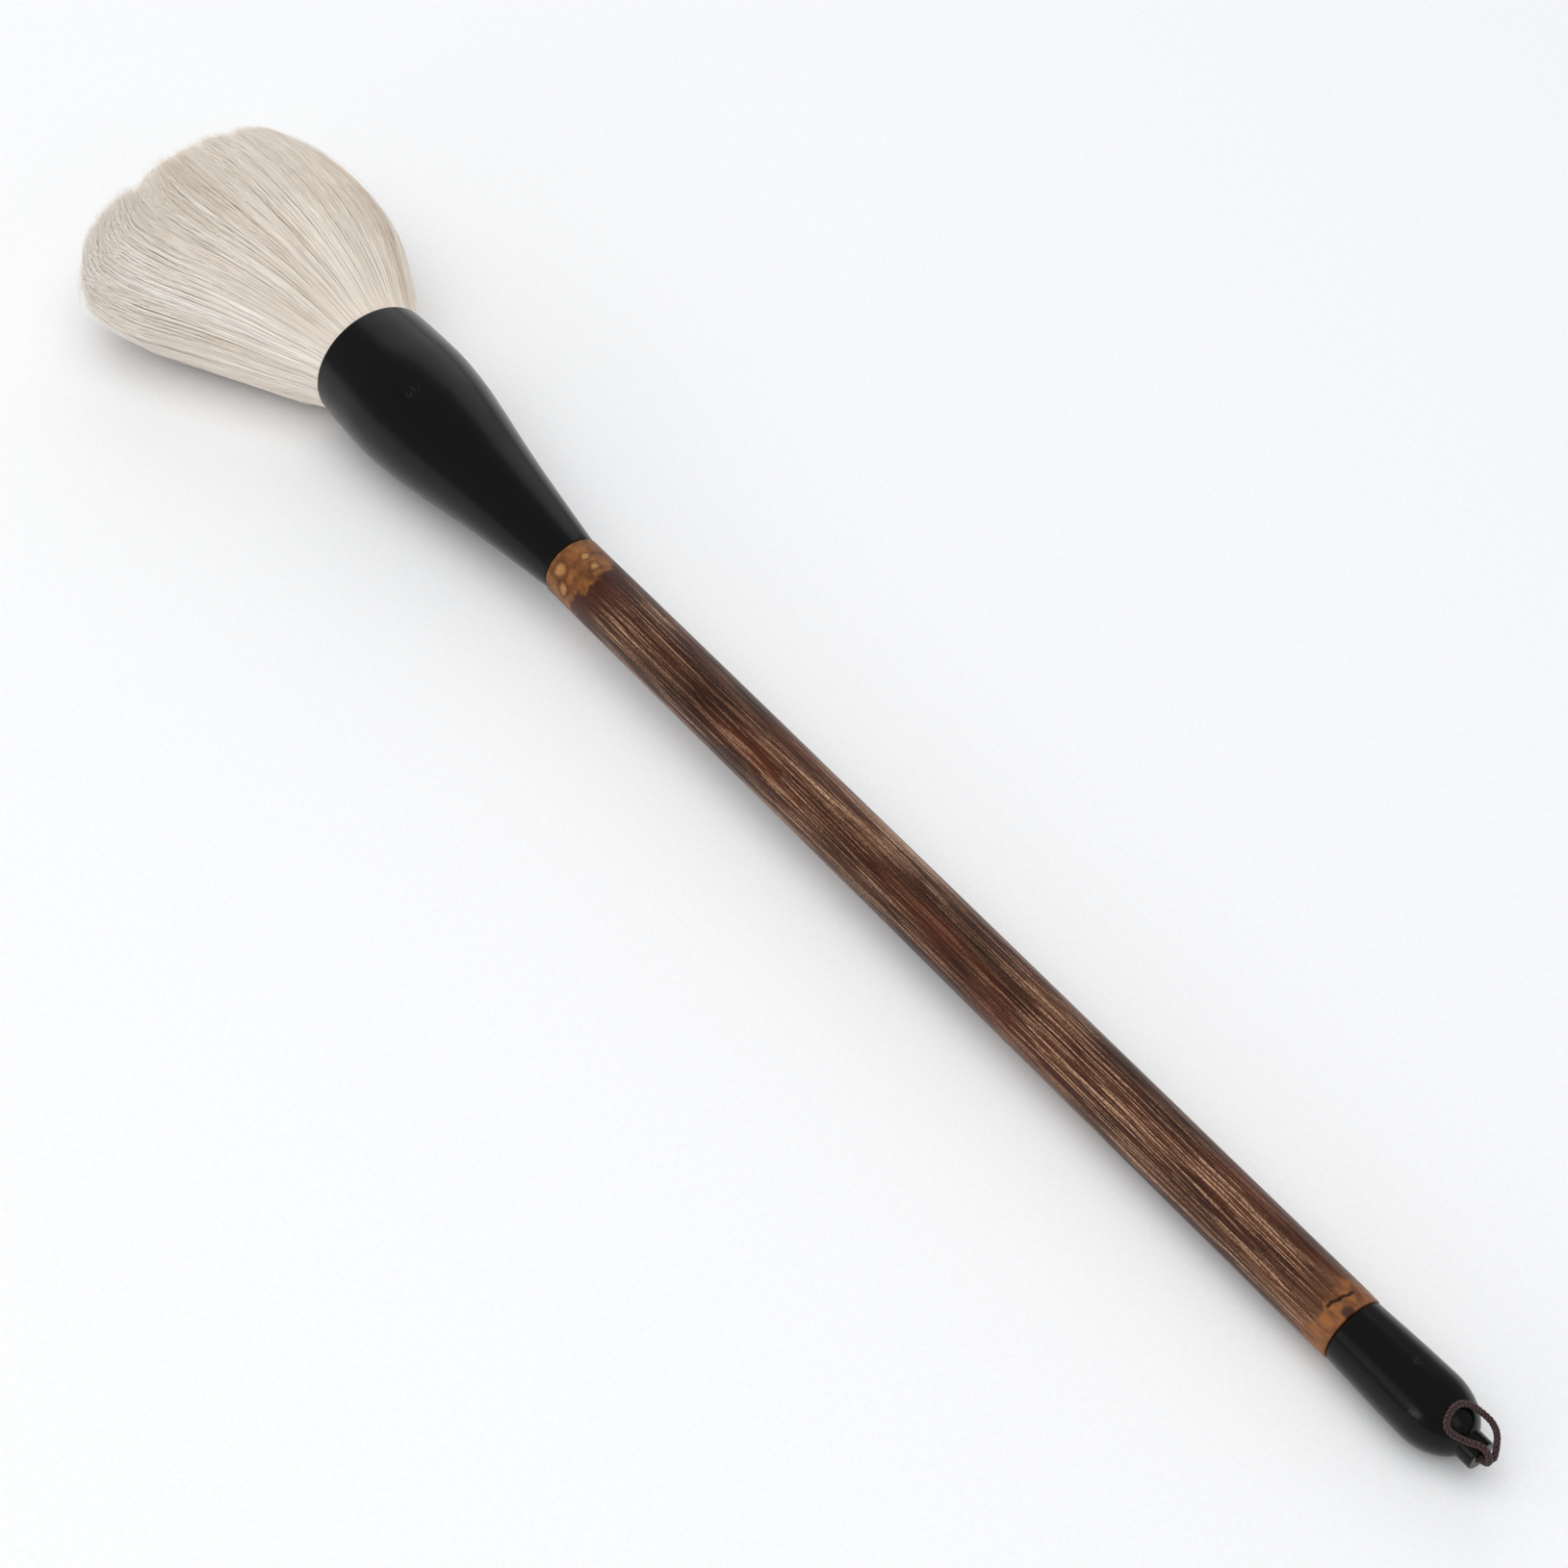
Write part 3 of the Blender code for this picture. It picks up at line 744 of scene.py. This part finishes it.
def head_point(angle, share, reach):
    """Points in the head, and over the table, at an angle, a share of its size and a reach."""
    left, right, up, down = (
        np.interp(reach, SECTION_TABLE[:, 0], SECTION_TABLE[:, i]) for i in range(1, 5)
    )
    c, s = np.cos(angle), np.sin(angle)
    y = c * np.where(c > 0, right, left) * share
    z = s * np.where(s > 0, up, down) * share
    x = -FERRULE_LENGTH - reach
    return np.stack([x, y, np.maximum(z, table_height(x) + TABLE_GAP)], axis=-1)


def tip_reach(angle, share):
    """How far out the hairs at this place in the head end."""
    reach = TIPS_REACH + (HAIR_REACH - TIPS_REACH) * np.sqrt(np.clip(1 - share**2, 0, 1))
    across = head_point(angle, share, np.full_like(angle, 66.0))[..., 1]
    for middle, width, depth in NOTCHES:
        reach = reach - depth * np.exp(-(((across - middle) / width) ** 2))
    return reach


def closing(reach):
    """The share of its width that the head keeps where the locks draw together at their tips."""
    return 1 - 0.06 * np.clip((reach - 60) / 12, 0, 1.3) ** 2


def strand_mesh(paths, radii):
    """Three-sided tubes along paths (count, steps, 3), with radii (count, steps)."""
    count, steps, _ = paths.shape
    along = np.gradient(paths, axis=1)
    along /= np.linalg.norm(along, axis=2, keepdims=True)
    side = np.cross(along, np.array([0.05, 0.1, 1.0]))
    side /= np.linalg.norm(side, axis=2, keepdims=True)
    other = np.cross(along, side)
    corners = []
    for k in range(3):
        a = 2 * math.pi * k / 3 + 0.5
        corners.append(paths + radii[..., None] * (math.cos(a) * side + math.sin(a) * other))
    points = np.stack(corners, axis=2).reshape(-1, 3)
    base = (np.arange(count)[:, None] * steps + np.arange(steps - 1)[None, :]) * 3
    quads = []
    for k in range(3):
        j = (k + 1) % 3
        quads.append(np.stack([base + k, base + j, base + 3 + j, base + 3 + k], axis=-1))
    first = np.arange(count)[:, None] * steps * 3
    root = first + np.array([[2, 1, 0]])
    tip = first + (steps - 1) * 3 + np.array([[0, 1, 2]])
    faces = np.concatenate(quads, axis=0).reshape(-1, 4).tolist()
    return points, faces + root.tolist() + tip.tolist()


def lock_tone(angle):
    """From 0, tan, to 1, pale: how light the locks of hair are round the head."""
    rng = np.random.default_rng(SEED + 2)
    tone = np.zeros_like(angle)
    for k in (5, 11, 19, 34, 57, 83, 121):
        tone += rng.uniform(0.5, 1.0) * np.sin(k * angle + rng.uniform(0, 2 * math.pi)) / k**0.25
    return np.clip(0.62 + 0.22 * tone, 0, 1)


def strands(rng, angle, share, start, end, steps, radius, waviness, lift=0.0):
    """Paths, radii and tones of hairs that follow the head and bunch into locks at their tips."""
    count = len(angle)
    t = np.linspace(0, 1, steps)[None, :]
    reach = start[:, None] + (end - start)[:, None] * t
    lock_at = np.sort(rng.uniform(-math.pi, math.pi, LOCKS))
    nearest = lock_at[np.argmin(np.abs(angle[:, None] - lock_at[None, :]), axis=1)]
    pull = rng.uniform(0.0, 0.5, count)[:, None] * np.clip(reach / HAIR_REACH, 0, 1) ** 2
    phase = rng.uniform(0, 2 * math.pi, (count, 2))
    waves = 2.2 * math.pi * rng.uniform(0.5, 1.4, count)[:, None]
    sway = waviness * np.sin(waves * t + phase[:, :1])
    bent = angle[:, None] + pull * (nearest - angle)[:, None] + sway * np.clip(reach / 40, 0, 1)
    depth = share[:, None] * closing(reach) * (1 + 0.010 * np.sin(5 * t + phase[:, 1:]))
    depth += lift * t**2
    paths = head_point(bent, depth, reach)
    for middle, width, _ in NOTCHES:
        offset = paths[..., 1] - middle
        push = 0.45 * np.exp(-np.abs(offset) / (1.6 * width)) * np.clip(reach / 70, 0, 1) ** 5
        paths[..., 1] += np.sign(offset) * push
    taper = 1 - 0.75 * np.clip((t - 0.5) / 0.5, 0, 1) ** 1.5
    return paths, radius[:, None] * taper, lock_tone(angle)


def add_strands(name, rng, material, groups, node=None):
    """One piece made of several groups of hairs."""
    points, faces, tint, reach, base = [], [], [], [], 0
    for paths, radii, tone in groups:
        p, f = strand_mesh(paths, radii)
        count, steps, _ = paths.shape
        points.append(p)
        faces += [[v + base for v in face] for face in f]
        base += len(p)
        tint.append(np.repeat(0.35 * rng.uniform(0, 1, count) + 0.65 * tone, steps * 3))
        out = (-FERRULE_LENGTH - paths[..., 0]) / HAIR_REACH
        reach.append(np.repeat(out.reshape(-1), 3))
    piece = add_piece(
        name,
        np.vstack(points),
        faces,
        HEAD,
        material,
        attributes={"tint": np.concatenate(tint), "reach": np.concatenate(reach)},
    )
    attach(piece, "brush")
    if node:
        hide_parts(node)


def add_hair_mass(material):
    """The closed body of hair under the loose strands: combed ridges round it, a rough cut end."""
    rng = np.random.default_rng(SEED + 1)
    around, share = 420, 0.95
    side_rings, end_rings = 42, 30
    angles = 2 * math.pi * np.arange(around) / around
    ridges = np.zeros(around)
    for k in (17, 31, 53, 88, 131):
        ridges += rng.uniform(0.1, 0.3) * np.sin(k * angles + rng.uniform(0, 6.28)) / math.sqrt(k)
    rings = []
    for reach in np.linspace(ROOT_REACH, 69.0, side_rings):
        grow = share + 0.035 * ridges * min(1.0, max(reach, 0.0) / 25)
        rings.append(head_point(angles, grow * closing(reach), np.full(around, reach)))
    for step in range(end_rings):
        place = np.full(around, 0.95 * share * math.cos(0.5 * math.pi * step / end_rings))
        end = tip_reach(angles, place) - 1.8 + rng.uniform(-0.5, 0.5, around)
        rings.append(head_point(angles, place, end))
    points = np.vstack(rings)
    faces = []
    for row in range(len(rings) - 1):
        a = row * around
        b = a + around
        for i in range(around):
            j = (i + 1) % around
            faces.append((a + i, b + i, b + j, a + j))
    faces.append(tuple(range(around)))
    faces.append(tuple(reversed(range(len(points) - around, len(points)))))
    tint = np.tile(0.8 * lock_tone(angles), (len(rings), 1))
    tint[side_rings:] = rng.uniform(0.1, 0.9, (end_rings, around))
    reach = np.clip((-FERRULE_LENGTH - points[:, 0]) / HAIR_REACH, 0, 1)
    attributes = {"tint": tint.reshape(-1), "reach": reach}
    piece = add_piece("hair_mass", points, faces, HEAD, material, attributes=attributes)
    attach(piece, "brush")


def half_turn(rng, count):
    """Random angles within a quarter turn of +Y."""
    return rng.uniform(-math.pi / 2, math.pi / 2, count)


def add_covering_hair(rng, material, side, turn):
    """Half of the outer layer: hairs of full length, and short ones that show part of the way."""
    count = 2350
    angle = half_turn(rng, count) + turn
    share = 0.955 + 0.05 * rng.uniform(0, 1, count)
    end = tip_reach(angle, np.clip(share * 0.97, 0, 1)) + rng.normal(0.6, 1.1, count)
    start = np.full(count, ROOT_REACH)
    radius = rng.uniform(0.06, 0.12, count)
    long_ones = strands(rng, angle, share, start, end, 11, radius, 0.012)

    count = 500
    angle = half_turn(rng, count) + turn
    share = 0.965 + 0.05 * rng.uniform(0, 1, count)
    start = rng.uniform(2, 40, count)
    end = start + rng.uniform(14, 36, count)
    radius = rng.uniform(0.05, 0.09, count)
    short_ones = strands(rng, angle, share, start, np.minimum(end, 76), 7, radius, 0.025)
    add_strands("covering_hair_" + side, rng, material, [long_ones, short_ones], "outer_hair")


def add_core_tips(rng, material):
    """The last 3 cm of the core's hairs, whose ends stand out of the hair mass."""
    count = 6000
    angle = 2 * half_turn(rng, count)
    share = 0.99 * rng.uniform(0, 1, count) ** 0.55
    end = tip_reach(angle, share) + rng.normal(0.6, 0.9, count)
    start = np.full(count, 54.0)
    radius = rng.uniform(0.08, 0.15, count)
    core = strands(rng, angle, share, start, end, 6, radius, 0.010)
    add_strands("core_tips", rng, material, [core], "core_hair")


def add_stray_hairs(rng, material):
    """Thin pale hairs that end a little past the others and lift off the head."""
    count = 4500
    angle = 2 * half_turn(rng, count)
    share = rng.uniform(0.55, 1.03, count)
    start = rng.uniform(30, 62, count)
    end = tip_reach(angle, np.clip(share, 0, 1)) + rng.uniform(0.8, 3.0, count)
    radius = rng.uniform(0.020, 0.036, count)
    stray = strands(rng, angle, share, start, end, 7, radius, 0.04, lift=0.030)
    add_strands("stray_hairs", rng, material, [stray])


def add_hair():
    # The last number is each material's share of painted rim light, a cool white, at the hairs'
    # ends.
    cover = hair_material("goat_hair_cover", rgb(250, 244, 236), rgb(220, 200, 177), 0.20)
    under = hair_material("goat_hair_under", rgb(246, 239, 230), rgb(214, 194, 170), 0.15)
    wisps = hair_material("goat_hair_wisps", rgb(250, 247, 243), rgb(236, 226, 214), 0.7)
    rng = np.random.default_rng(SEED)
    add_covering_hair(rng, cover, "right", 0.0)
    add_covering_hair(rng, cover, "left", math.pi)
    add_core_tips(rng, cover)
    add_stray_hairs(rng, wisps)
    add_hair_mass(under)


# ---------------------------------------------------------------- cord


def frames_along(path):
    """Tangent and two side directions along a path, carried on without twist."""
    tangent = np.gradient(path, axis=0)
    tangent /= np.linalg.norm(tangent, axis=1, keepdims=True)
    side = np.cross(tangent[0], [0.0, 0.0, 1.0])
    side /= np.linalg.norm(side)
    sides = []
    for t in tangent:
        side = side - t * (side @ t)
        side /= np.linalg.norm(side)
        sides.append(side)
    sides = np.array(sides)
    return tangent, sides, np.cross(tangent, sides)


def resampled(path, spacing):
    """The path with even steps, and the distance along it at each."""
    steps = np.linalg.norm(np.diff(path, axis=0), axis=1)
    along = np.concatenate([[0.0], np.cumsum(steps)])
    count = int(round(along[-1] / spacing)) + 1
    at = np.linspace(0, along[-1], count)
    return np.stack([np.interp(at, along, path[:, i]) for i in range(3)], axis=1), at


def tube(path, radius, sides, first_index):
    """Points of a closed round tube, and its faces with the points numbered from first_index."""
    _, side, other = frames_along(path)
    a = 2 * math.pi * np.arange(sides) / sides
    ring = np.cos(a)[None, :, None] * side[:, None, :]
    ring = ring + np.sin(a)[None, :, None] * other[:, None, :]
    points = (path[:, None, :] + radius * ring).reshape(-1, 3)
    faces = []
    for i in range(len(path) - 1):
        for k in range(sides):
            j = (k + 1) % sides
            a0, b0 = first_index + i * sides, first_index + (i + 1) * sides
            faces.append((a0 + k, a0 + j, b0 + j, b0 + k))
    faces.append(tuple(first_index + k for k in reversed(range(sides))))
    last = first_index + (len(path) - 1) * sides
    faces.append(tuple(last + k for k in range(sides)))
    return points, faces


def braid(path):
    """Round braid of yarns over a core: half wind one way, half the other, over and under."""
    path, at = resampled(path, BRAID_SPACING)
    _, side, other = frames_along(path)
    core_points, faces = tube(path, BRAID_CORE_R, 8, 0)
    points, tint, base = [core_points], [np.zeros(len(core_points))], len(core_points)
    wound = 2 * math.pi * at / BRAID_PITCH
    for way in (1, -1):
        out = BRAID_OUT + BRAID_LIFT * way * np.cos(wound * BRAID_YARNS)
        for k in range(BRAID_YARNS):
            turn = way * wound + 2 * math.pi * k / BRAID_YARNS
            aside = np.cos(turn)[:, None] * side + np.sin(turn)[:, None] * other
            yarn_points, yarn_faces = tube(path + out[:, None] * aside, BRAID_YARN_R, 6, base)
            points.append(yarn_points)
            faces += yarn_faces
            base += len(yarn_points)
            # The yarns that wind the first way are lighter, towards the cord's painted highlight
            # colour; the core stays darkest.
            tint.append(np.full(len(yarn_points), 0.22 + 0.60 * (way > 0)))
    return np.vstack(points), faces, np.concatenate(tint), path


def add_stopper_knot(mouth, material):
    """Trefoil knot of the same cord behind the stub's hole."""
    t = np.linspace(0, 2 * math.pi, 60)[:-1]
    knot = np.stack(
        [np.sin(3 * t), np.sin(t) + 2 * np.sin(2 * t), np.cos(t) - 2 * np.cos(2 * t)], axis=1
    )
    knot = knot * np.array(KNOT_SIZE) + np.array([KNOT_OUT - 2.2, 0.0, 0.0])
    points, faces, tint, _ = braid(knot)
    piece = add_piece("stopper_knot", points, faces, mouth, material, attributes={"tint": tint})
    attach(piece, "cord_end")
    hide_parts("cord_knot")
    return piece


def add_cord(material):
    """The loop of cord: out of the stub, round over the cap's shoulder and back in."""
    mouth = BRUSH @ Matrix.Translation((STUB_END_X * MM, 0, 0))
    knot = add_stopper_knot(mouth, material)
    side = CORD_SPREAD
    lead_in = [(x, -side, 0.0) for x in (KNOT_OUT, -7.0, -3.5, -0.8)]
    lead_out = [(x, side, z) for x, _, z in reversed(lead_in)]
    route = smooth_curve(lead_in + LOOP_ROUTE + lead_out, 8)
    points, faces, tint, path = braid(route)
    cord = add_piece("braided_cord", points, faces, mouth, material, attributes={"tint": tint})
    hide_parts("hanging_loop")
    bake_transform(cord)


def finish_hidden_nodes():
    """Materials for the CAD nodes that stay: dowels, resin and binding."""
    wood = wood_material()
    chosen = {
        "front_dowel": wood,
        "rear_dowel": wood,
        "root_resin": resin_material(),
        "root_binding": thread_material(),
    }
    for name, material in chosen.items():
        for slot in frame["nodes"][name].material_slots:
            slot.material = material


add_camera()
add_studio()
add_floor()
black = black_lacquer()
add_cord(cord_material())
add_handle(bamboo_material())
add_ferrule(black)
add_end_cap(black)
add_hair()
finish_hidden_nodes()
